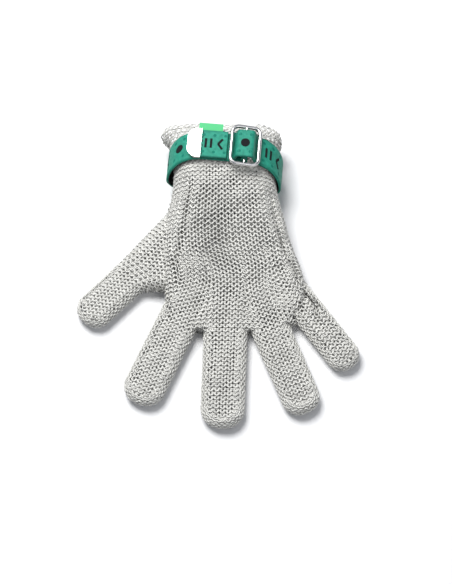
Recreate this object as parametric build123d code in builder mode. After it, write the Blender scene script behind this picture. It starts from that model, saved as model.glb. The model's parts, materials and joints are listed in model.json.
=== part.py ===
from build123d import *
import os
from math import cos, radians, sin, tan

os.makedirs("parts", exist_ok=True)

# A butcher's ring-mesh glove, laid flat: +X across the palm away from the thumb, +Y from the
# fingertips to the cuff, +Z up. The origin is on the flat underside, at the middle of the palm.

# ---- Driving dimensions, mm ------------------------------------------------------------------
MESH = 2.2              # thickness of the welded ring mesh
DIGIT_HEIGHT = 12.5     # a digit lying flat, with its side gussets rounded
SIDE_ROUND = DIGIT_HEIGHT / 2 - 0.25
BEND_GAP = 0.45         # clear slot between two stretches of mesh at a bend
BEND_SPARE = 2.0        # extra opening of the relief over a bend, degrees
SPLIT = 0.1             # slot that keeps the solids of one gusset apart
PALM_SPLIT_Z = 4.0      # the palm panel turns up to this height, where the back panel starts
WRIST_Y = 46.0          # seam between the hand and the wrist panels

KNUCKLE_BEND = 45.0     # how far a finger bends at its root
MIDDLE_BEND = 50.0      # and at its middle joint, degrees


class Digit:
    """One digit: where its root bend is, which way it points (degrees from -Y towards +X),
    its width, the lengths of its two stretches and how far its root reaches into the hand."""

    def __init__(self, x, y, aim, width, base, tip, root):
        self.x, self.y, self.width = x, y, width
        self.base, self.length, self.root = base, base + tip, root
        self.along = (sin(radians(aim)), -cos(radians(aim)))
        self.corner = 0.46 * width
        self.floor = Plane(origin=(x, y, 0), x_dir=(*self.along, 0), z_dir=(0, 0, 1))
        self.axis = Axis(origin=(x, y, 0), direction=(*self.along, 0))


DIGITS = {
    "thumb": Digit(-60.6, -9.6, -44.7, 24.6, 19, 21, 46),
    "index": Digit(-32.1, -46.7, -24.8, 27.2, 24, 27.5, 28),
    "middle": Digit(1.9, -56.0, -2.0, 28.4, 26, 28, 28),
    "ring": Digit(34.3, -51.7, 21.9, 25.0, 25, 26.8, 28),
    "little": Digit(59.0, -36.8, 36.1, 22.0, 19, 21, 28),
}

# Hand and cuff, from the knuckles to the open end: y, left edge, right edge, underside, top.
STATIONS = [
    (-45, -34, 43, -1.0, 12.5),
    (-30, -36, 52, -1.0, 15.5),
    (-10, -38, 52.5, -1.0, 20),
    (10, -40, 45.5, -1.0, 24.5),
    (30, -36.5, 40, -1.0, 31),
    (41, -33, 36.8, 2.0, 35.5),
    (50, -32, 35.4, 3.2, 38.4),
    (62, -31.6, 34.6, 3.4, 39.2),
    (73, -32.4, 36.4, 2.8, 39.2),
    (80, -34.4, 39.4, 2.2, 38.6),
    (86, -37.2, 38.0, 1.2, 37),
]
# the ball of the thumb: distance behind its root bend, width, height and sideways shift
THUMB_ROOT = [(3.5, 26.2, 13.4, 0.8), (13, 36.5, 15.8, 5.9), (46, 40.0, 24.0, 7.0)]
THUMB_SEAM = [(-19, WRIST_Y), (-27, 0), (-32.5, -26)]
WRIST_SPLIT_Z = 21.5    # the wrist's side seams
CUFF_END = STATIONS[-1][0]
CUFF_HEM = 3.2          # width of the edging round the open end
SLIT_X = 18.5           # the cuff's slit, closed by the buckle
SLIT_ROOT = (SLIT_X, 56.0)
SLIT_WIDE = 10.0        # its width, were it to run on to y = FAR

STRAP_WIDTH = 19.0
STRAP_T = 1.8
STRAP_LEAN = 24.0       # the loop's upper half lies further from the fingers at the top, degrees
STRAP_LEAN_LOW = -8.0   # and so does its lower half at the bottom
STRAP_SKEW = 5.0        # and its little-finger side sits nearer the fingers
STRAP_CENTRE = (1.7, 59.0, 21.5)
STRAP_LOOP = (70.8, 38.4)            # inside width and height
STRAP_TOP = 19.2                     # the loop's inside height over its centre

BUCKLE_WIRE = 2.6       # diameter of the buckle's round wire
BUCKLE_LONG = 20.5      # over all, along the strap
BUCKLE_WIDE = 28.5      # over all, across the strap
BUCKLE_CORNER = 4.2     # radius of the wire's centre line at a corner
BUCKLE_TILT = 8.0       # the frame's free side is lifted by the strap's tail, degrees
BAR_R = 1.0             # radius of the crossbar
BAR_U = 12.5            # the crossbar's place along the strap, from the loop's middle
BAR_V = STRAP_TOP + 5.0  # and its height over the loop's centre
BAR_CLEAR = 0.1         # running clearance of the sewn loop on the crossbar
BAR_LOOP_R = 2.1        # outside radius of the sewn loop
STRAP_GAP = (2.0, 7.7)  # the loop of the strap is open here, measured from the crossbar
LAYER_GAP = 0.4         # between one layer of strap and the next
TAIL_START = -12.1      # the free tail bends here, measured from the crossbar
TAIL_END = -24.6        # its far end, from the loop's middle
TIP_LONG = 8.6          # the steel end cap's length
TIP_SHEET = 0.4         # and the thickness of its sheet
TIP_CORNER = 6.0        # and its corner radius


def save(part, name):
    part.label = name
    export_step(part, f"parts/{name}.step")


# ---- The digits --------------------------------------------------------------------------------
def digit_block(digit, inset, start):
    """A digit's outer form (inset 0) or its hollow, lying along its floor plane."""
    far, wide = digit.length - inset, digit.width - 2 * inset
    with BuildPart() as block:
        with BuildSketch(digit.floor.offset(inset)) as outline:
            with Locations(((far + start) / 2, 0)):
                Rectangle(far - start, wide)
            fillet(outline.vertices().group_by(Axis.X)[-1], digit.corner - inset)
        extrude(amount=DIGIT_HEIGHT - 2 * inset)
        levels = block.edges().group_by(Axis.Z)
        rims = [level.sort_by(digit.axis)[1:] for level in (levels[0], levels[-1])]
        fillet(rims[0] + rims[1], SIDE_ROUND - inset)
    return block.part


def bend_relief(digit, distance, bend):
    """The wedge left free over a bend, so that the mesh on both sides can come together."""
    opening = tan(radians(bend / 2 + BEND_SPARE))
    side = Plane(
        origin=(
            digit.x + distance * digit.along[0],
            digit.y + distance * digit.along[1],
            DIGIT_HEIGHT / 2,
        ),
        x_dir=(*digit.along, 0),
        z_dir=(-digit.along[1], digit.along[0], 0),
    )
    low, high = -DIGIT_HEIGHT, DIGIT_HEIGHT
    top = BEND_GAP / 2 + high * opening
    with BuildPart() as relief:
        with BuildSketch(side):
            with BuildLine():
                Polyline(
                    (-BEND_GAP / 2, 0), (-top, -high), (top, -high), (BEND_GAP / 2, 0),
                    (BEND_GAP / 2, -low), (-BEND_GAP / 2, -low), close=True,
                )
            make_face()
        extrude(amount=digit.width / 2 + 0.6, both=True)
    return relief.part


def stretch_slab(digit, start, end, inset, low, high):
    """A straight block over one stretch of a digit, inset from its sides."""
    with BuildPart() as slab:
        with BuildSketch(digit.floor.offset(low)):
            with Locations(((start + end) / 2, 0)):
                Rectangle(end - start, digit.width - 2 * inset)
        extrude(amount=high - low)
    return slab.part


def build_digit(name, digit):
    """Back, palm and side-gusset mesh of both stretches of one digit."""
    outer = digit_block(digit, 0, 0)
    hollow = digit_block(digit, MESH, -1)
    reliefs = [
        bend_relief(digit, 0, KNUCKLE_BEND),
        bend_relief(digit, digit.base, MIDDLE_BEND),
    ]
    middle_z = flat = DIGIT_HEIGHT / 2
    spans = {
        "base": (0, digit.base, digit.base),
        "tip": (digit.base, digit.length + 1, digit.length - flat),
    }
    for stretch, (start, end, flat_end) in spans.items():
        with BuildPart() as shell:
            add(outer)
            add(hollow, mode=Mode.SUBTRACT)
            add(reliefs[0], mode=Mode.SUBTRACT)
            add(reliefs[1], mode=Mode.SUBTRACT)
            add(stretch_slab(digit, start, end, -1, -1, DIGIT_HEIGHT + 1), mode=Mode.INTERSECT)

        back_core = stretch_slab(digit, start, flat_end, flat, middle_z, DIGIT_HEIGHT + 1)
        palm_core = stretch_slab(digit, start, flat_end, flat, -1, middle_z)

        with BuildPart() as back:
            add(shell.part)
            add(back_core, mode=Mode.INTERSECT)
        save(back.part, f"{name}_{stretch}_back")

        with BuildPart() as palm:
            add(shell.part)
            add(palm_core, mode=Mode.INTERSECT)
        save(palm.part, f"{name}_{stretch}_palm")

        with BuildPart() as gusset:
            add(shell.part)
            add(back_core, mode=Mode.SUBTRACT)
            add(palm_core, mode=Mode.SUBTRACT)
            if stretch == "tip":
                cut = digit.length - digit.corner
                slot = stretch_slab(digit, cut, cut + SPLIT, -1, -1, DIGIT_HEIGHT + 1)
                add(slot, mode=Mode.SUBTRACT)
        save(gusset.part, f"{name}_{stretch}_gusset")


for digit_name, one_digit in DIGITS.items():
    build_digit(digit_name, one_digit)


# ---- The hand and the cuff ---------------------------------------------------------------------
def hand_block(inset):
    """The hand and cuff with the digits' roots: the outer form (inset 0) or its hollow."""
    ends = {STATIONS[0][0]: inset, CUFF_END: inset}
    with BuildPart() as block:
        for y, left, right, low, high in STATIONS:
            wide, tall = right - left - 2 * inset, high - low - 2 * inset
            middle = ((left + right) / 2, y + ends.get(y, 0), (low + high) / 2)
            with BuildSketch(Plane(origin=middle, x_dir=(1, 0, 0), z_dir=(0, -1, 0))):
                RectangleRounded(wide, tall, tall / 2 - 0.25)
        loft()
        for name, digit in DIGITS.items():
            tall = DIGIT_HEIGHT - 2 * inset
            mouth = Plane(
                origin=(digit.x, digit.y, DIGIT_HEIGHT / 2),
                x_dir=(-digit.along[1], digit.along[0], 0),
                z_dir=(*digit.along, 0),
            )
            with BuildSketch(mouth.offset(inset / 2)):
                RectangleRounded(digit.width - 2 * inset, tall, tall / 2 - 0.25)
            if name == "thumb":
                for distance, wide, tall, shift in THUMB_ROOT:
                    back = mouth.offset(-distance)
                    back.origin += Vector(0, 0, (tall - DIGIT_HEIGHT) / 2)
                    with BuildSketch(back):
                        with Locations((shift, 0)):
                            RectangleRounded(wide - 2 * inset, tall - 2 * inset, tall / 2 - inset - 0.25)
                loft(ruled=True)
            else:
                extrude(amount=-digit.root)
        split(bisect_by=Plane.XY.offset(inset), keep=Keep.TOP)
    return block.part


with BuildPart() as hand_shell:
    add(hand_block(0))
    add(hand_block(MESH), mode=Mode.SUBTRACT)
    for one_digit in DIGITS.values():
        add(bend_relief(one_digit, 0, KNUCKLE_BEND), mode=Mode.SUBTRACT)


def region(outline, low, high):
    """A straight block over an outline in plan, used to part one mesh panel from the next."""
    with BuildPart() as block:
        with BuildSketch(Plane.XY.offset(low)):
            with BuildLine():
                Polyline(*outline, close=True)
            make_face()
        extrude(amount=high - low)
    return block.part


FAR = 130    # beyond the glove in plan
TOP = 60     # and above it
thumb_side = [(-FAR, WRIST_Y), *THUMB_SEAM, (-34, -FAR), (-FAR, -FAR)]
palm_side = [(FAR, WRIST_Y), *THUMB_SEAM, (-34, -FAR), (FAR, -FAR)]
wrist_side = [(-FAR, WRIST_Y), (FAR, WRIST_Y), (FAR, CUFF_END - CUFF_HEM), (-FAR, CUFF_END - CUFF_HEM)]
hem_side = [(-FAR, CUFF_END - CUFF_HEM), (FAR, CUFF_END - CUFF_HEM), (FAR, FAR), (-FAR, FAR)]
slit_left = [(-FAR, 0), (SLIT_X, 0), SLIT_ROOT, (SLIT_X - SLIT_WIDE / 2, FAR), (-FAR, FAR)]
slit_right = [(FAR, 0), (SLIT_X, 0), SLIT_ROOT, (SLIT_X + SLIT_WIDE / 2, FAR), (FAR, FAR)]

PANELS = {
    "palm_panel": [(palm_side, -1, PALM_SPLIT_Z)],
    "back_panel": [(palm_side, PALM_SPLIT_Z, TOP)],
    "thumb_palm_panel": [(thumb_side, -1, PALM_SPLIT_Z)],
    "thumb_back_panel": [(thumb_side, PALM_SPLIT_Z, TOP)],
    "wrist_under_panel": [(wrist_side, -1, WRIST_SPLIT_Z)],
    "wrist_flap_thumb_side": [(wrist_side, WRIST_SPLIT_Z, TOP), (slit_left, -1, TOP)],
    "wrist_flap_little_side": [(wrist_side, WRIST_SPLIT_Z, TOP), (slit_right, -1, TOP)],
    "cuff_hem_under": [(hem_side, -1, WRIST_SPLIT_Z)],
    "cuff_hem_thumb_side": [(hem_side, WRIST_SPLIT_Z, TOP), (slit_left, -1, TOP)],
    "cuff_hem_little_side": [(hem_side, WRIST_SPLIT_Z, TOP), (slit_right, -1, TOP)],
}
for panel_name, regions in PANELS.items():
    with BuildPart() as panel:
        add(hand_shell.part)
        for outline, low, high in regions:
            add(region(outline, low, high), mode=Mode.INTERSECT)
    save(panel.part, panel_name)


# ---- The wrist strap ---------------------------------------------------------------------------
lean, skew = radians(STRAP_LEAN), radians(STRAP_SKEW)
along_strap = (cos(skew), -sin(skew), 0)
across_strap = (sin(skew), cos(skew), 0)


def loop_plane(angle):
    """The plane of one half of the strap's loop, leaning away from the fingers."""
    return Plane(
        origin=STRAP_CENTRE,
        x_dir=along_strap,
        z_dir=(-cos(angle) * sin(skew), -cos(angle) * cos(skew), sin(angle)),
    )


top_shift = (STRAP_TOP + STRAP_T) * tan(lean)
buckle_middle = Vector(*STRAP_CENTRE) + Vector(*across_strap) * top_shift
top_plane = Plane(
    origin=buckle_middle, x_dir=along_strap, z_dir=(-across_strap[0], -across_strap[1], 0)
)

with BuildPart() as wrist_strap:
    wide, tall = STRAP_LOOP
    for half, angle in ((1, lean), (-1, radians(STRAP_LEAN_LOW))):
        with BuildSketch(loop_plane(angle)):
            for edge, mode in ((STRAP_T, Mode.ADD), (0, Mode.SUBTRACT)):
                high = (tall + 2 * edge) / cos(angle)
                RectangleRounded(wide + 2 * edge, high, high / 2 - 0.2, mode=mode)
            with Locations((0, half * tall)):
                Rectangle(2 * wide, 2 * tall, mode=Mode.INTERSECT)
            with Locations((BAR_U + sum(STRAP_GAP) / 2, STRAP_TOP + STRAP_T)):
                Rectangle(STRAP_GAP[1] - STRAP_GAP[0], 4 * STRAP_T, mode=Mode.SUBTRACT)
        extrude(amount=STRAP_WIDTH / 2, dir=across_strap, both=True)
save(wrist_strap.part, "wrist_strap")

# the strap's sewn end, round the crossbar
with BuildPart() as strap_bar_loop:
    with BuildSketch(top_plane):
        with Locations((BAR_U, BAR_V)):
            Circle(BAR_LOOP_R)
            Circle(BAR_R + BAR_CLEAR, mode=Mode.SUBTRACT)
    extrude(amount=STRAP_WIDTH / 2, both=True)
save(strap_bar_loop.part, "strap_bar_loop")

# the strap's run from its little-finger side up over the crossbar and down under the frame
strap_mid = STRAP_TOP + STRAP_T / 2
tail_mid = STRAP_TOP + STRAP_T * 1.5 + LAYER_GAP
over_bar = BAR_V + BAR_LOOP_R + 0.3 + STRAP_T / 2
with BuildPart() as strap_bridge:
    with BuildSketch(top_plane):
        with BuildLine():
            FilletPolyline(
                (BAR_U + 6.6, strap_mid),
                (BAR_U + 4.8, over_bar),
                (BAR_U - 4.4, over_bar),
                (BAR_U - 6.2, tail_mid),
                (BAR_U - 10.0, tail_mid),
                radius=1.8,
            )
            offset(amount=STRAP_T / 2)
        make_face()
    extrude(amount=STRAP_WIDTH / 2, both=True)
save(strap_bridge.part, "strap_bridge")

# the free tail, lying on the strap; its near end is rounded about the line it bends on
with BuildPart() as strap_tail:
    with BuildSketch(top_plane):
        near = BAR_U + TAIL_START
        with Locations((near, tail_mid)):
            Circle(STRAP_T / 2)
        with Locations(((near + TAIL_END + TIP_SHEET) / 2, tail_mid)):
            Rectangle(near - TAIL_END - TIP_SHEET, STRAP_T)
    extrude(amount=STRAP_WIDTH / 2, both=True)
    corners = strap_tail.edges().filter_by(Axis.Z).sort_by(Axis.X)[:2]
    fillet(corners, TIP_CORNER - TIP_SHEET)
save(strap_tail.part, "strap_tail")

# the steel end cap, folded over the tail's end
with BuildPart() as strap_tip:
    with BuildSketch(top_plane):
        with Locations((TAIL_END + TIP_LONG / 2, tail_mid)):
            Rectangle(TIP_LONG, STRAP_T + 2 * TIP_SHEET)
    extrude(amount=STRAP_WIDTH / 2 + TIP_SHEET, both=True)
    fillet(strap_tip.edges().filter_by(Axis.Z).sort_by(Axis.X)[:2], TIP_CORNER)
    add(strap_tail.part, mode=Mode.SUBTRACT)
save(strap_tip.part, "strap_tip")

# ---- The buckle --------------------------------------------------------------------------------
rock = radians(BUCKLE_TILT)
up = Vector(0, 0, 1)
frame_plane = Plane(
    origin=buckle_middle + Vector(*along_strap) * BAR_U + up * BAR_V,
    x_dir=Vector(*along_strap) * cos(rock) - up * sin(rock),
    z_dir=Vector(*along_strap) * sin(rock) + up * cos(rock),
)
with BuildPart() as buckle_frame:
    with BuildSketch(frame_plane, mode=Mode.PRIVATE) as wire_path:
        RectangleRounded(BUCKLE_LONG - BUCKLE_WIRE, BUCKLE_WIDE - BUCKLE_WIRE, BUCKLE_CORNER)
    loop_wire = wire_path.sketch.wires()[0]
    with BuildSketch(Plane(origin=loop_wire @ 0, z_dir=loop_wire % 0)):
        Circle(BUCKLE_WIRE / 2)
    sweep(path=loop_wire)
save(buckle_frame.part, "buckle_frame")

with BuildPart() as buckle_crossbar:
    with BuildSketch(Plane(origin=frame_plane.origin, z_dir=across_strap)):
        Circle(BAR_R)
    extrude(amount=(BUCKLE_WIDE - BUCKLE_WIRE) / 2, both=True)
    add(buckle_frame.part, mode=Mode.SUBTRACT)
save(buckle_crossbar.part, "buckle_crossbar")

print("crossbar", frame_plane.origin, "across", across_strap)
print("tail bend", top_plane.from_local_coords((BAR_U + TAIL_START, tail_mid, 0)))
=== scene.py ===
"""A butcher's ring-mesh glove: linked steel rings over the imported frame, strap and buckle."""

import json
import math

import bpy
import numpy as np
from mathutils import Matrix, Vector


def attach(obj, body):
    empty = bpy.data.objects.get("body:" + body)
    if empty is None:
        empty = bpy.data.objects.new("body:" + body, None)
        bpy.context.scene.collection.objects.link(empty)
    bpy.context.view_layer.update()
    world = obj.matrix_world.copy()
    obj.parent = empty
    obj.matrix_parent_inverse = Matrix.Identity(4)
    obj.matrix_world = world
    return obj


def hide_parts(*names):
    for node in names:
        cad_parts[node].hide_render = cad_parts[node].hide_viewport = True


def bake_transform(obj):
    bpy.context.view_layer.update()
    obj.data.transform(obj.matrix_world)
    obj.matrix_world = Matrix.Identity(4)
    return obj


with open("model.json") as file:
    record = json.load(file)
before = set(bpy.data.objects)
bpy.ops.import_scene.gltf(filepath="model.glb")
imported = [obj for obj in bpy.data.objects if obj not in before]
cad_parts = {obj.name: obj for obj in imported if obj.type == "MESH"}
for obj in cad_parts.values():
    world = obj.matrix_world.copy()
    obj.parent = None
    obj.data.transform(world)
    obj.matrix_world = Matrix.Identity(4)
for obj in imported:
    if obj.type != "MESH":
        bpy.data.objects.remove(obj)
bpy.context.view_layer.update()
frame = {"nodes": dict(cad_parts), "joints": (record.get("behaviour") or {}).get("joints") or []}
MM = 0.001
rng = np.random.default_rng(41)

# ---- Driving sizes, mm -------------------------------------------------------------------------
RING_R = 1.62           # centre line of a ring's wire
WIRE_R = 0.39
PITCH = 3.88            # from ring to ring along a row
ROW = 1.43              # from row to row; every second row is half a pitch along
TILT = 19.0             # rows lean this way and that, degrees
AROUND, WIRE_SIDES = 14, 6

T = 12.5                # a digit's height
R = T / 2
SKIN = 1.2              # the rings' centres lie this far inside the outer form

# width, columns of rings on its back, first column of the hand, reach of its root
DIGITS = {
    "thumb": dict(width=24.6, columns=5, length=40.0, root=46.0),
    "index": dict(width=27.2, columns=5, length=51.5, root=30.0, first=3, bend=35.0),
    "middle": dict(width=28.4, columns=5, length=54.0, root=30.0, first=8, bend=35.0),
    "ring": dict(width=25.0, columns=4, length=51.8, root=30.0, first=13, bend=35.0),
    "little": dict(width=22.0, columns=4, length=40.0, root=30.0, first=17, bend=35.0),
}
HALF_COLUMNS = 23       # columns round half of the hand's girth
joints = {joint["name"]: joint for joint in frame["joints"]}
for name, digit in DIGITS.items():
    knuckle, middle = joints[f"{name}_knuckle"], joints[f"{name}_middle_joint"]
    digit["at"] = np.array(knuckle["pos_m"][:2]) / MM
    step = np.array(middle["pos_m"][:2]) / MM - digit["at"]
    digit["base"] = float(np.linalg.norm(step))
    digit["along"] = step / digit["base"]
    digit["across"] = np.array([-digit["along"][1], digit["along"][0]])
    digit["corner"] = 0.46 * digit["width"]

# the hand's sections, as the frame has them: y, left, right, underside, top
STATIONS = np.array([
    (-45, -34, 43, 0, 12.5),
    (-30, -36, 52, 0, 15.5),
    (-10, -38, 52.5, 0, 20),
    (10, -40, 45.5, 0, 24.5),
    (30, -36.5, 40, 0, 31),
    (41, -33, 36.8, 2.0, 35.5),
    (50, -32, 35.4, 3.2, 38.4),
    (62, -31.6, 34.6, 3.4, 39.2),
    (73, -32.4, 36.4, 2.8, 39.2),
    (80, -35.6, 39.4, 2.2, 38.6),
    (86, -40.4, 38.0, 1.2, 37),
])
CUFF_END = 86.0
SLIT_X, SLIT_ROOT, SLIT_SPREAD = 18.5, 56.0, 0.068
# the ball of the thumb: distance behind its root bend, width, height and sideways shift
THUMB_ROOT = np.array([
    (0, 24.6, 12.5, 0), (3.5, 26.2, 13.4, 0.8), (13, 36.5, 15.8, 5.9), (46, 40.0, 24.0, 7.0)])


# ---- Forms -------------------------------------------------------------------------------------
def smooth(t):
    t = np.clip(t, 0.0, 1.0)
    return t * t * (3 - 2 * t)


def station_at(y):
    """The hand's section at y: left, right, underside and top, as a smooth curve through the stations."""
    ys, table = STATIONS[:, 0], STATIONS[:, 1:]
    slopes = np.gradient(table, ys, axis=0)
    y = np.clip(y, ys[0], ys[-1])
    i = np.clip(np.searchsorted(ys, y, side="right") - 1, 0, len(ys) - 2)
    span = (ys[i + 1] - ys[i])[..., None]
    t = ((y - ys[i]) / (ys[i + 1] - ys[i]))[..., None]
    return (
        (2 * t**3 - 3 * t**2 + 1) * table[i]
        + (t**3 - 2 * t**2 + t) * span * slopes[i]
        + (3 * t**2 - 2 * t**3) * table[i + 1]
        + (t**3 - t**2) * span * slopes[i + 1]
    )


def stadium(wide, tall, share):
    """A point and outward normal on the upper half of a round-sided flat section, share 0 to 1."""
    r = tall / 2
    flat = wide / 2 - r
    arc = math.pi / 2 * r
    s = share * (2 * arc + 2 * flat)
    left, right = s < arc, s > arc + 2 * flat
    angle = np.where(left, math.pi - s / r, np.where(right, (2 * arc + 2 * flat - s) / r, math.pi / 2))
    centre = np.where(left, -flat, np.where(right, flat, s - arc - flat))
    return centre + r * np.cos(angle), r * np.sin(angle), np.cos(angle), np.sin(angle)


def in_digit(digit, x, y):
    """Plan coordinates in a digit's own frame: distance along it from the knuckle, and across."""
    dx, dy = x - digit["at"][0], y - digit["at"][1]
    return (
        dx * digit["along"][0] + dy * digit["along"][1],
        dx * digit["across"][0] + dy * digit["across"][1],
    )


def digit_edge(digit, a, c):
    """Signed distance to a digit's outline in plan, negative inside."""
    corner = digit["corner"]
    qa = a - (digit["length"] - corner)
    qc = np.abs(c) - (digit["width"] / 2 - corner)
    outside = np.hypot(np.maximum(qa, 0), np.maximum(qc, 0))
    return outside + np.minimum(np.maximum(qa, qc), 0) - corner


def digit_height(digit, x, y):
    """Half height of a digit's form over its middle plane at a point in plan, or -1 outside it."""
    a, c = in_digit(digit, x, y)
    depth = -digit_edge(digit, a, c)
    rise = np.sqrt(np.clip(R**2 - np.maximum(R - depth, 0) ** 2, 0, None))
    return np.where((depth > 0) & (a > -digit["root"]), rise, -1.0)


def thumb_root_section(a):
    """Width, height and sideways shift of the ball of the thumb at a distance along the thumb."""
    return [np.interp(-a, THUMB_ROOT[:, 0], THUMB_ROOT[:, k]) for k in (1, 2, 3)]


def hand_surfaces(x, y):
    """Underside and top of the hand's form at a point in plan, nan outside it."""
    left, right, low, high = np.moveaxis(station_at(y), -1, 0)
    r = (high - low) / 2
    off = np.maximum(np.abs(x - (left + right) / 2) - ((right - left) / 2 - r), 0)
    inside = (off < r) & (y > STATIONS[0, 0])
    rise = np.sqrt(np.clip(r**2 - off**2, 0, None))
    middle = (high + low) / 2
    return np.where(inside, middle - rise, np.nan), np.where(inside, middle + rise, np.nan)


def thumb_root_surfaces(x, y):
    """Underside and top of the ball of the thumb at a point in plan, nan outside it."""
    a, c = in_digit(DIGITS["thumb"], x, y)
    wide, tall, shift = thumb_root_section(a)
    r = tall / 2
    off = np.maximum(np.abs(c - shift) - (wide / 2 - r), 0)
    inside = (off < r) & (a < 0) & (a > -DIGITS["thumb"]["root"])
    rise = np.sqrt(np.clip(r**2 - off**2, 0, None))
    return np.where(inside, r - rise, np.nan), np.where(inside, r + rise, np.nan)


def surfaces(x, y):
    """Underside and top of the whole glove at a point in plan."""
    lows, highs = [], []
    for low, high in (hand_surfaces(x, y), thumb_root_surfaces(x, y)):
        lows.append(low)
        highs.append(high)
    for digit in DIGITS.values():
        rise = digit_height(digit, x, y)
        lows.append(np.where(rise >= 0, R - rise, np.nan))
        highs.append(np.where(rise >= 0, R + rise, np.nan))
    low = np.nanmin(np.stack(lows + [np.full_like(x, 99.0)]), axis=0)
    high = np.nanmax(np.stack(highs + [np.full_like(x, -99.0)]), axis=0)
    return low, high


def wrinkle(x, y):
    """How far the loose mesh rises and sinks from its plain form."""
    hollow = -3.4 * np.exp(-(((x + 4) / 10) ** 2) - (((y - 12) / 22) ** 2))
    groove_at = np.interp(y, [-31, -22, -12, -3, 6, 20, 48], [60, 53.5, 48, 43.5, 39.5, 35, 30])
    ridge = 1.5 * np.exp(-(((x - groove_at - 3.6) / 2.2) ** 2))
    ridge = ridge - 1.5 * np.exp(-(((x - groove_at) / 1.5) ** 2))
    ridge = ridge * smooth((y + 42) / 12) * smooth((48 - y) / 25)
    seam_at = -21 + 0.19 * (y - 40)
    seam = -1.2 * np.exp(-(((x - seam_at) / 2.2) ** 2)) * smooth((y + 12) / 12) * smooth((50 - y) / 12)
    soft = 0.35 * np.sin(x * 0.31 + 0.12 * y) * np.sin(y * 0.23 - 0.1 * x + 1.0)
    soft += 0.25 * np.sin(x * 0.17 - 0.4 * y + 2.0)
    return hollow + ridge + seam + soft


# ---- Rings -------------------------------------------------------------------------------------
class Rings:
    """A growing list of rings: centre, the direction of its row, the outward normal and its lean."""

    def __init__(self):
        self.centre, self.row, self.normal, self.lean = [], [], [], []

    def add(self, centre, row, normal, lean):
        row = row - normal * np.sum(row * normal, axis=-1, keepdims=True)
        self.centre.append(centre)
        self.row.append(row / np.linalg.norm(row, axis=-1, keepdims=True))
        self.normal.append(normal / np.linalg.norm(normal, axis=-1, keepdims=True))
        self.lean.append(np.broadcast_to(lean, centre.shape[:1]).astype(float))

    def arrays(self):
        return [np.concatenate(part) for part in (self.centre, self.row, self.normal, self.lean)]


def lean_of(row):
    """Every second row leans the other way."""
    return TILT if row % 2 else -TILT


def surface_frame(x, y, top):
    """Place and outward normal on the glove's upper or lower skin over a point in plan."""
    step = 0.4
    pick = 1 if top else 0
    sign = 1.0 if top else -1.0

    def height(px, py):
        z = surfaces(px, py)[pick]
        return z + wrinkle(px, py) if top else z

    z = height(x, y)
    dx = (height(x + step, y) - height(x - step, y)) / (2 * step)
    dy = (height(x, y + step) - height(x, y - step)) / (2 * step)
    normal = np.stack([-dx, -dy, np.ones_like(dx)], -1) * sign
    normal /= np.linalg.norm(normal, axis=-1, keepdims=True)
    centre = np.stack([x, y, z], -1) - normal * SKIN
    return centre, normal


def column_x(column, y):
    """Plan x of a column on the hand's upper half, and its z and normal, at y."""
    left, right, low, high = np.moveaxis(station_at(y), -1, 0)
    share = (column + 0.5) / HALF_COLUMNS
    x, z, nx, nz = stadium(right - left, high - low, share)
    return x + (left + right) / 2, z, (high + low) / 2, nx, nz


def finger_plan(digit, offset, y, lateral=PITCH):
    """Plan place of a finger's column: straight in the palm, then turning into the finger."""
    first, columns, bend = digit["first"], digit["columns"], digit["bend"]
    pivot = digit["at"] - digit["along"] * bend
    palm_x = column_x(first + (columns - 1) / 2 + offset, np.maximum(y, -20.0))[0]
    palm = np.stack([palm_x, y], -1)
    a = -bend - (y - pivot[1])
    finger = digit["at"] + a[..., None] * digit["along"] + (offset * lateral)[..., None] * digit["across"]
    w = smooth((a + bend + 20) / 34)[..., None]
    return palm * (1 - w) + finger * w, a


hand_rings = Rings()
rows_y = CUFF_END - ROW * np.arange(0, 164)

# fingers and the palm behind them
panel_rings = {name: Rings() for name in DIGITS}
for name, digit in DIGITS.items():
    if name == "thumb":
        continue
    half = (digit["columns"] - 1) / 2
    for j, y in enumerate(rows_y):
        offset = np.arange(digit["columns"]) - half + (0.5 if j % 2 else 0.0)
        ys = np.full_like(offset, y)
        plan, a = finger_plan(digit, offset, ys)
        ahead, _ = finger_plan(digit, offset + 0.05, ys)
        da, dc = in_digit(digit, plan[:, 0], plan[:, 1])
        keep = digit_edge(digit, da, dc) < -3.4
        keep |= (a < -10)
        if not keep.any():
            continue
        plan, ahead = plan[keep], ahead[keep]
        row = np.concatenate([ahead - plan, np.zeros((len(plan), 1))], -1)
        for top in (True, False):
            centre, normal = surface_frame(plan[:, 0], plan[:, 1], top)
            panel_rings[name].add(centre, row, normal, lean_of(j))


# the webs: columns that fill the wedge between one finger's panel and the next
WEBS = (("index", "middle"), ("middle", "ring"), ("ring", "little"))
web_rings = Rings()
for left_name, right_name in WEBS:
    left, right = DIGITS[left_name], DIGITS[right_name]
    for j, y in enumerate(rows_y):
        ends = []
        for digit, column in ((left, left["columns"] - 1), (right, 0)):
            offset = np.array([column - (digit["columns"] - 1) / 2 + (0.5 if j % 2 else 0.0)])
            ends.append(finger_plan(digit, offset, np.array([y]))[0][0])
        extra = int(np.linalg.norm(ends[1] - ends[0]) / PITCH - 0.42)
        if extra < 1:
            continue
        plan = ends[0] + (np.arange(1, extra + 1) / (extra + 1))[:, None] * (ends[1] - ends[0])
        low, high = surfaces(plan[:, 0], plan[:, 1])
        plan = plan[high - low > 8.5]
        row = np.broadcast_to(np.append(ends[1] - ends[0], 0.0), (len(plan), 3))
        for top in (True, False):
            centre, normal = surface_frame(plan[:, 0], plan[:, 1], top)
            web_rings.add(centre, row, normal, lean_of(j))


def outside(place):
    """Whether a place in plan is clear of the glove."""
    return surfaces(np.array([place[0]]), np.array([place[1]]))[1][0] < 0


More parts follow.
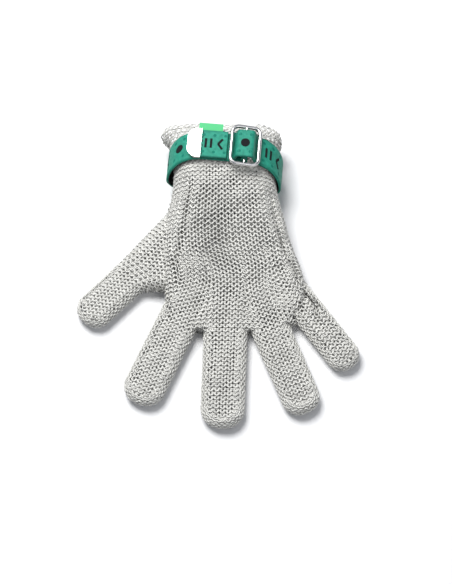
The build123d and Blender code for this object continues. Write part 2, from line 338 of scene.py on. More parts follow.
def web_edge(left_name, right_name, back=14.0):
    """Rows that turn round the edge of the web between two digits, from the back to the palm."""
    left, right = DIGITS[left_name], DIGITS[right_name]
    ahead = left["along"] + right["along"]
    ahead /= np.linalg.norm(ahead)
    side = np.array([-ahead[1], ahead[0]])
    place = (left["at"] - left["along"] * back + right["at"] - right["along"] * back) / 2
    while not outside(place):
        place = place + ahead * 0.2
    core = place - ahead * (R + 0.3)
    rows = int(math.pi * 0.8 * R / ROW)
    for m in range(rows + 1):
        psi = math.radians(72 - 144 * m / rows)
        offset = (np.arange(-2, 3) + (0.5 if m % 2 else 0.0)) * PITCH
        offset = offset[np.abs(offset) < 2.2 * PITCH]
        normal = np.broadcast_to(np.append(ahead * math.cos(psi), math.sin(psi)), (len(offset), 3))
        spot = np.concatenate([core + offset[:, None] * side, np.full((len(offset), 1), R)], -1)
        centre = spot + normal * (R - SKIN)
        row = np.broadcast_to(np.append(side, 0.0), centre.shape)
        web_rings.add(centre, row, normal, lean_of(m))


for left_name, right_name in WEBS:
    web_edge(left_name, right_name)


def gusset(name, start_left, start_right):
    """Rows of rings that follow a digit's outline, round its side."""
    digit = DIGITS[name]
    corner = digit["corner"] - R
    side = digit["width"] / 2 - R
    end = digit["length"] - R
    legs = [end - corner - start_left, math.pi / 2 * (corner + R), 2 * (side - corner),
            math.pi / 2 * (corner + R), end - corner - start_right]
    panel_half = (digit["columns"] / 2) * PITCH - 0.3
    top_angle = math.acos(min(1.0, max(0.0, (panel_half + 0.9 - side) / R)))
    rows = int(2 * top_angle * R / ROW)
    for m in range(rows + 1):
        psi = top_angle - m * 2 * top_angle / rows
        count = int(sum(legs) / PITCH)
        s = (np.arange(count) + (0.5 if m % 2 else 0.0)) * sum(legs) / count
        marks = np.cumsum([0] + legs)
        k = np.clip(np.searchsorted(marks, s, side="right") - 1, 0, 4)
        t = s - marks[k]
        turn = t / (corner + R)
        a = np.select([k == 0, k == 1, k == 2, k == 3], [
            start_left + t, end - corner + corner * np.sin(turn), end + 0 * t,
            end - corner + corner * np.cos(turn)], end - corner - t)
        c = np.select([k == 0, k == 1, k == 2, k == 3], [
            -side + 0 * t, -side + corner - corner * np.cos(turn), -side + corner + t,
            side - corner + corner * np.sin(turn)], side + 0 * t)
        na = np.select([k == 0, k == 1, k == 2, k == 3],
                       [0 * t, np.sin(turn), 1 + 0 * t, np.cos(turn)], 0 * t)
        nc = np.select([k == 0, k == 1, k == 2, k == 3],
                       [-1 + 0 * t, -np.cos(turn), 0 * t, np.sin(turn)], 1 + 0 * t)
        place = digit["at"] + a[:, None] * digit["along"] + c[:, None] * digit["across"]
        out = na[:, None] * digit["along"] + nc[:, None] * digit["across"]
        tangent = np.stack([-out[:, 1], out[:, 0], 0 * t], -1)
        normal = np.concatenate([out * math.cos(psi), np.full((count, 1), math.sin(psi))], -1)
        centre = np.concatenate([place, np.full((count, 1), R)], -1) + normal * (R - SKIN)
        panel_rings[name].add(centre, tangent, normal, lean_of(m))


for name in DIGITS:
    left_start = {"index": -26.0}.get(name, -14.0)
    right_start = {"little": -30.0, "thumb": -3.0}.get(name, -14.0)
    gusset(name, left_start, right_start)


# the thumb: its back and palm, and its root
thumb = DIGITS["thumb"]
for j in range(66):
    a = thumb["length"] - 3.4 - ROW * j
    if a < -thumb["root"]:
        break
    wide, tall, shift = thumb_root_section(np.array(min(a, 0.0)))
    span = math.pi / 2 * tall / 2 + wide / 2 - tall / 2
    reach = span if a < -1.5 else thumb["columns"] / 2 * PITCH
    count = int(reach / PITCH)
    offset = np.arange(-count, count + 1) + (0.5 if j % 2 else 0.0)
    offset = offset[np.abs(offset * PITCH) < reach]
    if a > -1.5:
        edge = digit_edge(thumb, np.full_like(offset, a), offset * PITCH)
        offset = offset[edge < -3.4]
    if not len(offset):
        continue
    share = 0.5 + offset * PITCH / (2 * span)
    c, z, nc, nz = stadium(float(wide), float(tall), share)
    for sign in (1.0, -1.0):
        plan = thumb["at"] + a * thumb["along"] + (c + float(shift))[:, None] * thumb["across"]
        normal = np.stack([nc * thumb["across"][0], nc * thumb["across"][1], sign * nz], -1)
        centre = np.stack([plan[:, 0], plan[:, 1], tall / 2 + sign * z], -1) - normal * SKIN
        row = np.broadcast_to(np.append(thumb["across"], 0.0), centre.shape)
        panel_rings["thumb"].add(centre, row, normal, lean_of(j))

# the sides of the hand, wrist and cuff
for j, y in enumerate(rows_y):
    if y < -26:
        break
    columns = np.array([0, 1, 2, 21, 22]) + (0.5 if j % 2 else 0.0)
    columns = columns[(columns < 22.6)]
    x, z, middle, nx, nz = column_x(columns, np.full_like(columns, y, dtype=float))
    for sign in (1.0, -1.0):
        normal = np.stack([nx, 0 * nx, sign * nz], -1)
        centre = np.stack([x, 0 * x + y, middle + sign * z], -1) - normal * SKIN
        row = np.stack([nz, 0 * nx, -nx * sign], -1)
        hand_rings.add(centre, row, normal, lean_of(j))


# ---- Ring meshes -------------------------------------------------------------------------------
def ring_mesh(name, centre, row, normal, lean):
    """One mesh of many rings. Each ring turns its own way a little, as loose rings do."""
    count = len(centre)
    across = np.cross(normal, row)
    lean = np.radians(lean + rng.normal(0, 2.5, count))[:, None]
    row = row + across * rng.normal(0, 0.035, (count, 1)) + normal * rng.normal(0, 0.035, (count, 1))
    row /= np.linalg.norm(row, axis=1, keepdims=True)
    side = np.cross(normal, row)
    side /= np.linalg.norm(side, axis=1, keepdims=True)
    up = np.cross(row, side)
    second = side * np.cos(lean) + up * np.sin(lean)
    axis = np.cross(row, second)
    centre = centre + rng.normal(0, 0.06, (count, 3))
    alpha = np.linspace(0, 2 * math.pi, AROUND, endpoint=False)
    beta = np.linspace(0, 2 * math.pi, WIRE_SIDES, endpoint=False)
    ca, sa = np.cos(alpha)[None, :, None, None], np.sin(alpha)[None, :, None, None]
    cb, sb = np.cos(beta)[None, None, :, None], np.sin(beta)[None, None, :, None]
    radial = ca * row[:, None, None] + sa * second[:, None, None]
    placed = centre[:, None, None] + (RING_R + WIRE_R * cb) * radial + WIRE_R * sb * axis[:, None, None]
    i, k = np.meshgrid(np.arange(AROUND), np.arange(WIRE_SIDES), indexing="ij")
    i2, k2 = (i + 1) % AROUND, (k + 1) % WIRE_SIDES
    quad = np.stack([i * WIRE_SIDES + k, i2 * WIRE_SIDES + k, i2 * WIRE_SIDES + k2, i * WIRE_SIDES + k2], -1)
    quads = quad.reshape(1, -1, 4) + (np.arange(count) * AROUND * WIRE_SIDES)[:, None, None]
    mesh = bpy.data.meshes.new(name)
    points = (placed.reshape(-1, 3) * MM).astype(np.float32)
    quads = quads.reshape(-1, 4)
    mesh.vertices.add(len(points))
    mesh.vertices.foreach_set("co", points.ravel())
    mesh.loops.add(quads.size)
    mesh.loops.foreach_set("vertex_index", quads.ravel().astype(np.int32))
    mesh.polygons.add(len(quads))
    mesh.polygons.foreach_set("loop_start", np.arange(0, quads.size, 4, dtype=np.int32))
    mesh.update(calc_edges=True)
    mesh.polygons.foreach_set("use_smooth", np.ones(len(quads), bool))
    # painted shade: bright where a ring stands proud, darker where its neighbours shade it, on the glove's
    # underside and in the palm's hollow; only the random part is each ring's own tone
    proud_shading = np.sum((placed - centre[:, None, None]) * normal[:, None, None], -1).reshape(-1)
    # painted shade: a ring's sunk side is darker and its proud side lighter
    proud_shading = smooth((proud_shading + 0.95) / 1.75)
    own = np.repeat(0.84 + 0.16 * rng.random(count), AROUND * WIRE_SIDES)
    # painted shade in the hollow at the middle of the palm
    hollow_shade = 1 - 0.16 * np.exp(-(((centre[:, 0] + 4) / 11) ** 2) - (((centre[:, 1] - 12) / 22) ** 2))
    # painted shade: rings on the glove's underside are a tenth darker
    low = np.repeat(np.where(normal[:, 2] < -0.25, 0.90, hollow_shade), AROUND * WIRE_SIDES)
    # the attribute carries each ring's own random tone times the painted shade
    shade_and_tone = mesh.attributes.new("ring_tone_and_shade", "FLOAT", "POINT")
    shade_and_tone.data.foreach_set("value", (own * (0.88 + 0.12 * proud_shading) * low).astype(np.float32))
    piece = bpy.data.objects.new(name, mesh)
    bpy.context.scene.collection.objects.link(piece)
    return piece


def node_material(name):
    material = bpy.data.materials.new(name)
    material.use_nodes = True
    tree = material.node_tree
    return material, tree, tree.nodes["Principled BSDF"]


def steel_material():
    """Tumbled steel wire, each ring a little different in tone, with painted shade from the ring attribute
    in crevices, on the underside and in the palm's hollow.
    """
    material, tree, shader = node_material("ring_steel")
    shader.inputs["Metallic"].default_value = 0.75
    shade_and_tone = tree.nodes.new("ShaderNodeAttribute")
    shade_and_tone.attribute_name = "ring_tone_and_shade"
    ramp = tree.nodes.new("ShaderNodeValToRGB")
    ramp.color_ramp.elements[0].color = (0.16, 0.157, 0.145, 1)
    ramp.color_ramp.elements[1].color = (0.655, 0.65, 0.62, 1)
    tree.links.new(shade_and_tone.outputs["Fac"], ramp.inputs["Fac"])
    tree.links.new(ramp.outputs["Color"], shader.inputs["Base Color"])
    shader.inputs["Roughness"].default_value = 0.72
    return material


STEEL = steel_material()
named = {name: rings.arrays() for name, rings in panel_rings.items()}
hand = hand_rings.arrays()


def inside_hand(points, margin):
    """Which points lie deeper inside the hand's form than a margin."""
    low, high = hand_surfaces(points[:, 0], points[:, 1])
    r = (high - low) / 2
    left, right, _, _ = np.moveaxis(station_at(points[:, 1]), -1, 0)
    off = np.maximum(np.abs(points[:, 0] - (left + right) / 2) - ((right - left) / 2), -99)
    return (points[:, 2] > low + margin) & (points[:, 2] < high - margin) & (off < -margin)


def inside_digit(name, points, margin):
    """Which points lie deeper under a digit's skins than a margin."""
    digit = DIGITS[name]
    x, y, z = points.T
    if name == "thumb":
        low, high = thumb_root_surfaces(x, y)
        rise = digit_height(digit, x, y)
        low = np.where(np.isnan(low) & (rise >= 0), R - rise, low)
        high = np.where(np.isnan(high) & (rise >= 0), R + rise, high)
    else:
        rise = digit_height(digit, x, y)
        low, high = np.where(rise >= 0, R - rise, np.nan), np.where(rise >= 0, R + rise, np.nan)
    return (z > low + margin) & (z < high - margin)


BURIED = SKIN + 1.1
keep = np.ones(len(hand[0]), bool)
for name in DIGITS:
    keep &= ~inside_digit(name, hand[0], BURIED)
hand = [part[keep] for part in hand]
for name, rings in named.items():
    keep = np.ones(len(rings[0]), bool)
    if name == "thumb":
        keep &= ~inside_hand(rings[0], BURIED)
    for other in DIGITS:
        if other != name:
            keep &= ~inside_digit(other, rings[0], BURIED)
    named[name] = [part[keep] for part in rings]

pieces = []


def add_piece(name, rings, nodes, body=None, bend=None):
    """Rings in place of CAD nodes, riding on one body; a piece given a bend only has its placement baked
    into its mesh and rides on none.
    """
    piece = ring_mesh(name, *rings)
    piece.data.materials.append(STEEL)
    if bend:
        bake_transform(piece)
    else:
        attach(piece, body)
    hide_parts(*nodes)
    pieces.append((name, len(rings[0])))


BEND_REACH = 9.0
webs = web_rings.arrays()
# no web ring pokes through the ground, and none lies beside a digit, where it would be left behind
keep = webs[0][:, 2] - 2 * np.sqrt(1 - webs[2][:, 2] ** 2) > -0.2
for name, digit in DIGITS.items():
    keep &= ~inside_digit(name, webs[0], BURIED)
    a, c = in_digit(digit, webs[0][:, 0], webs[0][:, 1])
    keep &= (a < -BEND_REACH) | (np.abs(c) > digit["width"] / 2 + 0.8)
webs = [part[keep] for part in webs]
rest = [hand, webs]
for name, digit in DIGITS.items():
    rings = named[name]
    a, _ = in_digit(digit, rings[0][:, 0], rings[0][:, 1])
    zones = {"base": (-BEND_REACH, digit["base"] / 2), "tip": (digit["base"] / 2, 1e9)}
    rest.append([part[a < -BEND_REACH] for part in rings])
    for stretch, (start, end) in zones.items():
        part = [values[(a >= start) & (a < end)] for values in rings]
        joint_at = 0.0 if stretch == "base" else digit["base"]
        points = [
            (*((digit["at"] + digit["along"] * (joint_at + shift)) * MM), R * MM)
            for shift in (-BEND_REACH, BEND_REACH)
        ]
        bodies = ("hand", f"{name}_base") if stretch == "base" else (f"{name}_base", f"{name}_tip")
        nodes = [f"{name}_{stretch}_{kind}" for kind in ("back", "palm", "gusset")]
        add_piece(f"{name}_{stretch}_rings", part, nodes, bend=(*bodies, *points))

whole = [np.concatenate(parts) for parts in zip(*rest)]
x, y, z = whole[0].T
open_slit = (y > SLIT_ROOT) & (np.abs(x - SLIT_X) < SLIT_SPREAD * (y - SLIT_ROOT) + 0.6) & (z > 25)
whole = [part[~open_slit] for part in whole]
x, y, z = whole[0].T
seam_x = np.interp(y, [-22, 0, 46], [-33, -27, -19])
upper = z > 8
regions = {
    "thumb_side_upper_rings": ((x < seam_x) & (y < 46) & upper, ["thumb_back_panel"]),
    "thumb_side_lower_rings": ((x < seam_x) & (y < 46) & ~upper, ["thumb_palm_panel"]),
    "back_rings": ((x >= seam_x) & (y >= 4) & (y < 46) & upper, ["back_panel"]),
    "back_knuckle_rings": ((x >= seam_x) & (y < 4) & upper, ["back_panel"]),
    "palm_rings": ((x >= seam_x) & (y >= 4) & (y < 46) & ~upper, ["palm_panel"]),
    "palm_knuckle_rings": ((x >= seam_x) & (y < 4) & ~upper, ["palm_panel"]),
    "wrist_under_rings": ((y >= 46) & (z < 21.5), ["wrist_under_panel", "cuff_hem_under"]),
    "wrist_flap_thumb_rings": (
        (y >= 46) & (z >= 21.5) & (x < SLIT_X), ["wrist_flap_thumb_side", "cuff_hem_thumb_side"]),
    "wrist_flap_little_rings": (
        (y >= 46) & (z >= 21.5) & (x >= SLIT_X), ["wrist_flap_little_side", "cuff_hem_little_side"]),
}
for name, (mask, nodes) in regions.items():
    add_piece(name, [part[mask] for part in whole], nodes, body="hand")
print("rings", sum(count for _, count in pieces), pieces)


# ---- Strap and buckle --------------------------------------------------------------------------
STRAP_MIDDLE = np.array([1.7, 59.0, 21.5])
LEAN, LEAN_LOW, SKEW = math.radians(24.0), math.radians(-8.0), math.radians(5.0)
ALONG = np.array([math.cos(SKEW), -math.sin(SKEW), 0.0])
ACROSS = np.array([math.sin(SKEW), math.cos(SKEW), 0.0])
UP = np.array([0.0, 0.0, 1.0])
STRAP_WIDE, STRAP_T = 19.0, 1.8
LOOP_WIDE, LOOP_TALL = 70.8, 38.4    # inside
STRAP_TOP = 19.2
BAR_U, BAR_V = 12.5, 24.2
TAIL_MID = STRAP_TOP + STRAP_T * 1.5 + 0.4
TAIL_START, TAIL_END = BAR_U - 12.1, -24.2
TIP_LONG = 8.6


def rounded(corners, radius, steps=7):
    """A polyline through the corners with each inner corner rounded."""
    corners = [np.array(corner, float) for corner in corners]
    line = [corners[0]]
    for a, b, c in zip(corners, corners[1:], corners[2:]):
        u, v = (a - b) / np.linalg.norm(a - b), (c - b) / np.linalg.norm(c - b)
        half = math.acos(float(np.clip(u @ v, -1, 1))) / 2
        reach = radius / math.tan(half)
        middle = b + (u + v) / np.linalg.norm(u + v) * radius / math.sin(half)
        for t in np.linspace(0, 1, steps + 1):
            spoke = (b + u * reach) * (1 - t) + (b + v * reach) * t - middle
            line.append(middle + spoke / np.linalg.norm(spoke) * radius)
    return np.array(line + [corners[-1]])


def spaced(line, step):
    """The same polyline with points no further apart than a step."""
    out = [line[0]]
    for a, b in zip(line, line[1:]):
        count = max(1, int(math.ceil(np.linalg.norm(b - a) / step)))
        out += [a + (b - a) * t for t in np.arange(1, count + 1) / count]
    return np.array(out)


class Webbing:
    """A length of strap: its middle line in the strap's own plane, going clockwise."""

    def __init__(self, line, leans):
        self.line, self.leans = line, leans
        step = np.gradient(line, axis=0)
        step /= np.linalg.norm(step, axis=1, keepdims=True)
        self.normal = np.stack([-step[:, 1], step[:, 0]], -1)
        self.s = np.append(0, np.cumsum(np.linalg.norm(np.diff(line, axis=0), axis=1)))

    def on(self, s, t, lift):
        """Points at s along the strap and t across it, lifted from its middle layer."""
        u, h = np.interp(s, self.s, self.line[:, 0]), np.interp(s, self.s, self.line[:, 1])
        nu, nh = np.interp(s, self.s, self.normal[:, 0]), np.interp(s, self.s, self.normal[:, 1])
        size = np.hypot(nu, nh)
        u, h = u + lift * nu / size, h + lift * nh / size
        h_leant = h if self.leans else 0 * h + STRAP_TOP + STRAP_T
        # the loop's two halves lean apart, with a soft change from one to the other
        shift = 0.5 * (math.tan(LEAN) + math.tan(LEAN_LOW)) * h_leant
        shift = shift + 0.5 * (math.tan(LEAN) - math.tan(LEAN_LOW)) * (np.sqrt(h_leant**2 + 9) - 0.2)
        return (STRAP_MIDDLE + np.multiply.outer(u, ALONG) + np.multiply.outer(t + shift, ACROSS)
                + np.multiply.outer(h, UP))


def loop_line():
    """The loop's middle line, clockwise from where the bridge comes down to short of the crossbar."""
    tall = (LOOP_TALL + STRAP_T) / math.cos(LEAN)
    r = tall / 2 - 0.2
    flat = (LOOP_WIDE + STRAP_T) / 2 - r
    turn = np.linspace(math.asin((BAR_U + 7.7 - flat) / r), math.pi, 40)
    right = np.stack([flat + r * np.sin(turn), 0.2 * np.cos(turn) + r * np.cos(turn)], -1)
    turn = np.linspace(0, math.pi, 40)
    left = np.stack([-flat - r * np.sin(turn), -0.2 * np.cos(turn) - r * np.cos(turn)], -1)
    line = np.concatenate([right, left, [(BAR_U + 2.0, tall / 2)]])
    line[:, 1] *= math.cos(LEAN)
    return spaced(line, 1.6)


OVER_BAR = BAR_V + 2.1 + 0.3 + STRAP_T / 2
STRAP_MID = STRAP_TOP + STRAP_T / 2
loop = Webbing(loop_line(), True)
bridge = Webbing(spaced(rounded([
    (BAR_U - 10.0, TAIL_MID), (BAR_U - 6.2, TAIL_MID), (BAR_U - 4.4, OVER_BAR),
    (BAR_U + 4.8, OVER_BAR), (BAR_U + 6.6, STRAP_MID)], 1.8), 0.8), False)
tail = Webbing(spaced(np.array([(TAIL_END, TAIL_MID), (TAIL_START + 0.6, TAIL_MID)]), 0.7), False)


def webbing_section():
    """Half-thickness profile of the webbing with rounded selvedges: across, and through."""
    half, edge = STRAP_WIDE / 2, 0.75
    flat = np.linspace(-(half - edge), half - edge, 13)
    turn = np.linspace(0, math.pi, 7)[1:-1]
    top = np.stack([flat, np.full_like(flat, STRAP_T / 2)], -1)
    right = np.stack([half - edge + edge * np.sin(turn), STRAP_T / 2 * np.cos(turn)], -1)
    return np.concatenate([top, right, -top, -right])


def add_webbing(name, strap, node, body, taper=0.0):
    """A length of webbing in place of a CAD node, its first end rounded if it has a taper."""
    section = webbing_section()
    count, around = len(strap.s), len(section)
    wide = np.ones(count)
    if taper:
        depth = np.clip(taper - strap.s, 0, taper)
        wide = (STRAP_WIDE / 2 - taper + np.sqrt(taper**2 - depth**2)) / (STRAP_WIDE / 2)
    points = np.concatenate([
        strap.on(np.full(around, s), section[:, 0] * w, section[:, 1]) for s, w in zip(strap.s, wide)])
    faces = [
        (i * around + k, i * around + (k + 1) % around,
         (i + 1) * around + (k + 1) % around, (i + 1) * around + k)
        for i in range(count - 1) for k in range(around)]
    faces += [tuple(range(around))[::-1], tuple(range((count - 1) * around, count * around))]
    faces = [face[::-1] for face in faces]
    mesh = bpy.data.meshes.new(name)
    mesh.from_pydata((points * MM).tolist(), [], faces)
    mesh.polygons.foreach_set("use_smooth", np.ones(len(faces), bool))
    labels = {"strap_s": np.repeat(strap.s, around), "strap_t": np.tile(section[:, 0], count),
              "strap_face": np.tile(section[:, 1], count)}
    for label, values in labels.items():
        mesh.attributes.new(label, "FLOAT", "POINT").data.foreach_set("value", values.astype(np.float32))
    mesh.materials.append(WEBBING)
    piece = bpy.data.objects.new(name, mesh)
    bpy.context.scene.collection.objects.link(piece)
    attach(piece, body)
    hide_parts(node)


def bar(s, t, long, wide, turn=0.0, cells=(8, 3)):
    """A straight stroke: its middle, length, width and turn away from across the strap, degrees."""
    a = np.linspace(-long / 2, long / 2, cells[0])
    b = np.linspace(-wide / 2, wide / 2, cells[1])
    a, b = np.meshgrid(a, b, indexing="ij")
    cosine, sine = math.cos(math.radians(turn)), math.sin(math.radians(turn))
    return np.stack([s + a * sine + b * cosine, t + a * cosine - b * sine], -1)


def disc(s, t, radius, cells=7):
    """A round patch, as a square grid pressed into a circle."""
    a, b = np.meshgrid(np.linspace(-1, 1, cells), np.linspace(-1, 1, cells), indexing="ij")
    return np.stack([s + radius * a * np.sqrt(1 - b**2 / 2), t + radius * b * np.sqrt(1 - a**2 / 2)], -1)


def add_marks(name, strap, sheets, material, body, lift=0.10):
    """Thin raised patches on a strap's outer face."""
    points, faces = [], []
    for sheet in sheets:
        n, m = sheet.shape[:2]
        flat = sheet.reshape(-1, 2)
        start = len(points)
        points += list(strap.on(flat[:, 0], flat[:, 1], STRAP_T / 2 + lift))
        points += list(strap.on(flat[:, 0], flat[:, 1], STRAP_T / 2 - 0.1))
        faces += [
            (start + i * m + k, start + (i + 1) * m + k, start + (i + 1) * m + k + 1, start + i * m + k + 1)
            for i in range(n - 1) for k in range(m - 1)]
        rim = [i * m for i in range(n)] + [(n - 1) * m + k for k in range(1, m)]
        rim += [i * m + m - 1 for i in range(n - 2, -1, -1)] + list(range(m - 2, 0, -1))
        faces += [
            (start + b, start + a, start + a + n * m, start + b + n * m)
            for a, b in zip(rim, rim[1:] + rim[:1])]
    mesh = bpy.data.meshes.new(name)
    mesh.from_pydata((np.array(points) * MM).tolist(), [], faces)
    mesh.materials.append(material)
    piece = bpy.data.objects.new(name, mesh)
    bpy.context.scene.collection.objects.link(piece)
    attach(piece, body)


def maths(tree, operation, *values):
    """A math node's output; each value is a number or a link."""
    node = tree.nodes.new("ShaderNodeMath")
    node.operation = operation
    for socket, value in zip(node.inputs, values):
        if isinstance(value, (int, float)):
            socket.default_value = value
        else:
            tree.links.new(value, socket)
    return node.outputs[0]


def colour_mix(tree, first, second, factor):
    """A colour link mixed with a constant colour by a factor link."""
    mix = tree.nodes.new("ShaderNodeMix")
    mix.data_type = "RGBA"
    a, b = [socket for socket in mix.inputs if socket.type == "RGBA"]
    b.default_value = second
    tree.links.new(first, a)
    tree.links.new(factor, mix.inputs["Factor"])
    return next(socket for socket in mix.outputs if socket.type == "RGBA")


def webbing_material():
    """Green woven webbing with darker selvedges; its reverse is black."""
    material, tree, shader = node_material("strap_webbing")
    s, t = tree.nodes.new("ShaderNodeAttribute"), tree.nodes.new("ShaderNodeAttribute")
    s.attribute_name, t.attribute_name = "strap_s", "strap_t"
    warp = maths(tree, "SINE", maths(tree, "MULTIPLY", s.outputs["Fac"], 2 * math.pi / 1.1))
    weft = maths(tree, "SINE", maths(tree, "MULTIPLY", t.outputs["Fac"], 2 * math.pi / 0.95))
    weave = maths(tree, "MULTIPLY", warp, weft)
    noise = tree.nodes.new("ShaderNodeTexNoise")
    noise.inputs["Scale"].default_value = 420.0
    noise.inputs["Detail"].default_value = 3.0
    place = tree.nodes.new("ShaderNodeTexCoord")
    tree.links.new(place.outputs["Object"], noise.inputs["Vector"])
    edge = maths(tree, "GREATER_THAN", maths(tree, "ABSOLUTE", t.outputs["Fac"]), 8.5)
    mix = maths(tree, "ADD", maths(tree, "MULTIPLY", weave, 0.10), noise.outputs["Fac"])
    mix = maths(tree, "SUBTRACT", mix, maths(tree, "MULTIPLY", edge, 0.22))
    ramp = tree.nodes.new("ShaderNodeValToRGB")
    ramp.color_ramp.elements[0].position, ramp.color_ramp.elements[1].position = 0.25, 0.75
    ramp.color_ramp.elements[0].color = (0.008, 0.145, 0.098, 1)
    ramp.color_ramp.elements[1].color = (0.018, 0.25, 0.17, 1)
    shader.inputs["Specular IOR Level"].default_value = 0.22
    tree.links.new(mix, ramp.inputs["Fac"])
    face = tree.nodes.new("ShaderNodeAttribute")
    face.attribute_name = "strap_face"
    is_reverse = maths(tree, "LESS_THAN", face.outputs["Fac"], -0.5)
    colour = colour_mix(tree, ramp.outputs["Color"], (0.016, 0.02, 0.02, 1), is_reverse)
    tree.links.new(colour, shader.inputs["Base Color"])
    bump = tree.nodes.new("ShaderNodeBump")
    bump.inputs["Strength"].default_value = 0.35
    bump.inputs["Distance"].default_value = 0.0002
    tree.links.new(weave, bump.inputs["Height"])
    tree.links.new(bump.outputs["Normal"], shader.inputs["Normal"])
    shader.inputs["Roughness"].default_value = 0.55
    return material


def plain_material(name, colour, roughness, metallic=0.0):
    material, _, shader = node_material(name)
    shader.inputs["Metallic"].default_value = metallic
    shader.inputs["Specular IOR Level"].default_value = 0.5 if metallic else 0.12
    shader.inputs["Base Color"].default_value = (*colour, 1)
    shader.inputs["Roughness"].default_value = roughness
    return material


WEBBING = webbing_material()
POLISHED = plain_material("polished_steel", (0.66, 0.65, 0.64), 0.22, 1.0)
INK = plain_material("strap_marks", (0.010, 0.011, 0.012), 0.95)
DIMPLE = plain_material("strap_dimples", (0.006, 0.13, 0.09), 0.7)
THREAD = plain_material("stitching", (0.02, 0.03, 0.03), 0.8)
TAB = plain_material("size_tab", (0.08, 0.40, 0.17), 0.8)

add_webbing("strap_loop_webbing", loop, "wrist_strap", "hand")
add_webbing("strap_bridge_webbing", bridge, "strap_bridge", "hand")
add_webbing("strap_tail_webbing", tail, "strap_tail", "strap_end", taper=5.6)
for node, material in (("strap_bar_loop", WEBBING), ("buckle_frame", POLISHED),
                       ("buckle_crossbar", POLISHED), ("strap_tip", POLISHED)):
    frame["nodes"][node].data.materials.clear()
    frame["nodes"][node].data.materials.append(material)


def bars(s, gap=3.4):
    return [bar(s - gap / 2, 0.2, 6.6, 1.5), bar(s + gap / 2, 0.2, 6.6, 1.5)]


def chevron(s):
    return [bar(s, 1.75, 4.6, 1.5, 38), bar(s, -1.75, 4.6, 1.5, -38)]


def dimples(start, end, step=6.9):
    return [disc(s, t, 1.0, 5) for s in np.arange(start, end, step) for t in (-5.9, 5.9)]


full = float(loop.s[-1])
loop_top = full - (BAR_U + 2.0)      # the middle of the loop's top, measured along it
add_marks("strap_marks_loop", loop, [
    *bars(7.6), *chevron(15.6), disc(30, 0, 2.6), *bars(43), *chevron(58), disc(72, 0, 2.6), *bars(86),
    *chevron(101), disc(116, 0, 2.6), *chevron(loop_top - 43), disc(loop_top - 30.5, 0.3, 2.7),
    *bars(loop_top - 20)], INK, "hand")
add_marks("strap_dimples_loop", loop, dimples(4.2, full - 8), DIMPLE, "hand", 0.02)
tail_at = -TAIL_END
add_marks("strap_marks_tail", tail, [*bars(tail_at - 11.2), *chevron(tail_at - 3.6)], INK, "strap_end")
add_marks("strap_dimples_tail", tail, dimples(tail_at - 14.4, tail_at + 0.5, 6.9), DIMPLE, "strap_end", 0.02)
add_marks("tail_stitches", tail, [
    bar(tail_at - 15.1, t, 1.7, 0.55) for t in np.linspace(-7.4, 7.4, 6)], THREAD, "strap_end", 0.14)
crown = float(np.interp(BAR_U, bridge.line[:, 0], bridge.s))
add_marks("strap_marks_bridge", bridge, [disc(crown, 0.2, 2.9)], INK, "hand")
tab = Webbing(np.array([(u, STRAP_TOP + 0.5) for u in np.linspace(-18.5, -2.5, 9)]), False)
add_marks("size_tab", tab, [bar(8.0, 11.4, 8.0, 15.4)], TAB, "hand", 0.0)
add_marks("strap_dimples_bridge", bridge, [
    disc(crown + side, t, 1.0, 5) for side in (-3.4, 3.4) for t in (-5.9, 5.9)], DIMPLE, "hand", 0.02)


# ---- Stage, light and camera -------------------------------------------------------------------
CAMERA_ELEVATION, CAMERA_DISTANCE = 68.0, 1.6      # degrees, m
CAMERA_TARGET = (2.6, -18.0, 7.0)
SEEN_WIDTH = 289.28                                # width of the picture at the target


def add_floor():
    """A wide white ground just under the glove."""
    bpy.ops.mesh.primitive_plane_add(size=6, location=(0, 0, -0.0002))
    floor = bpy.context.object
    floor.name = "floor"
    material, _, shader = node_material("floor_white")
    shader.inputs["Base Color"].default_value = (0.66, 0.66, 0.66, 1)
    shader.inputs["Roughness"].default_value = 0.7
    floor.data.materials.append(material)


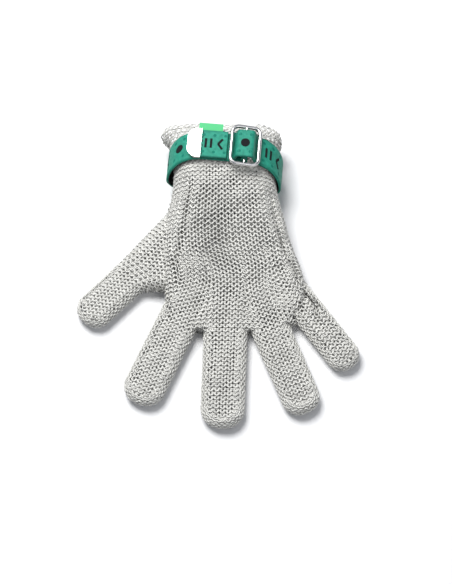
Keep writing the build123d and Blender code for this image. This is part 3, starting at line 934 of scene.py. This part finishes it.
def add_light(name, place, target, size, power):
    """A round area light at a place, turned to a target."""
    data = bpy.data.lights.new(name, "AREA")
    data.shape, data.size, data.energy = "DISK", size, power
    light = bpy.data.objects.new(name, data)
    light.location = place
    direction = np.array(target) - np.array(place)
    light.rotation_euler = Vector(direction).to_track_quat("-Z", "Y").to_euler()
    bpy.context.scene.collection.objects.link(light)


def add_camera():
    """The camera stands in front of the fingertips and looks steeply down."""
    elevation, distance = math.radians(CAMERA_ELEVATION), CAMERA_DISTANCE
    data = bpy.data.cameras.new("camera")
    data.sensor_fit = "HORIZONTAL"
    data.lens = data.sensor_width * distance / (SEEN_WIDTH * MM)
    data.clip_end = 20
    camera = bpy.data.objects.new("camera", data)
    target = Vector(CAMERA_TARGET) * MM
    offset = Vector((0, -math.cos(elevation), math.sin(elevation))) * distance
    camera.location = target + offset
    camera.rotation_euler = (-offset).to_track_quat("-Z", "Y").to_euler()
    bpy.context.scene.collection.objects.link(camera)
    bpy.context.scene.camera = camera


add_floor()
add_light("key", (-0.30, 0.42, 1.06), (0, 0, 0), 0.70, 23)
add_light("fill", (0.5, -0.6, 0.9), (0, 0, 0), 1.0, 3)
add_camera()


def add_world():
    """Soft light from above, weaker towards the horizon. The camera itself sees plain white."""
    world = bpy.data.worlds.new("world")
    bpy.context.scene.world = world
    world.use_nodes = True
    tree = world.node_tree
    place, split = tree.nodes.new("ShaderNodeTexCoord"), tree.nodes.new("ShaderNodeSeparateXYZ")
    ramp = tree.nodes.new("ShaderNodeValToRGB")
    ramp.color_ramp.elements[0].color = (0.10, 0.11, 0.14, 1)
    ramp.color_ramp.elements[1].color = (0.40, 0.42, 0.46, 1)
    tree.links.new(place.outputs["Generated"], split.inputs[0])
    tree.links.new(split.outputs["Z"], ramp.inputs["Fac"])
    path = tree.nodes.new("ShaderNodeLightPath")
    seen = colour_mix(tree, ramp.outputs["Color"], (1, 1, 1, 1), path.outputs["Is Camera Ray"])
    tree.links.new(seen, tree.nodes["Background"].inputs["Color"])
    tree.nodes["Background"].inputs["Strength"].default_value = 1.0


add_world()
bpy.context.scene.view_settings.view_transform = "Standard"
